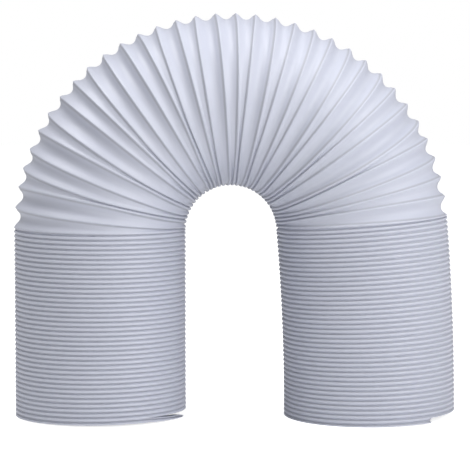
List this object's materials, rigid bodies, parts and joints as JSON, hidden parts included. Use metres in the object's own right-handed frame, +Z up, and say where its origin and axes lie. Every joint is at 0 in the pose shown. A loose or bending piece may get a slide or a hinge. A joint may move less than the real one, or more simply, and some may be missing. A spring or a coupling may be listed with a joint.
{
  "type": "air conditioner exhaust hose",
  "caption": "Flexible exhaust hose wound from a folded plastic strip, bent over into a free-standing arch, with its turns pushed shut in both legs and fanned open over the bend",
  "frame": {"origin": "On the floor, at the bottom centre of the whole arch, midway between the centres of the two open ends.", "axes": "+X runs from the left leg to the right leg, along the longest extent. +Y points to the back, along the hose's own diameter, the shortest extent. +Z is up, towards the top of the arch."},
  "size_m": [0.386, 0.15, 0.3515],
  "materials": {
    "hose_wall": "satin"
  },
  "bodies": {
    "root": {"hose": "hose_wall"}
  },
  "joints": []
}
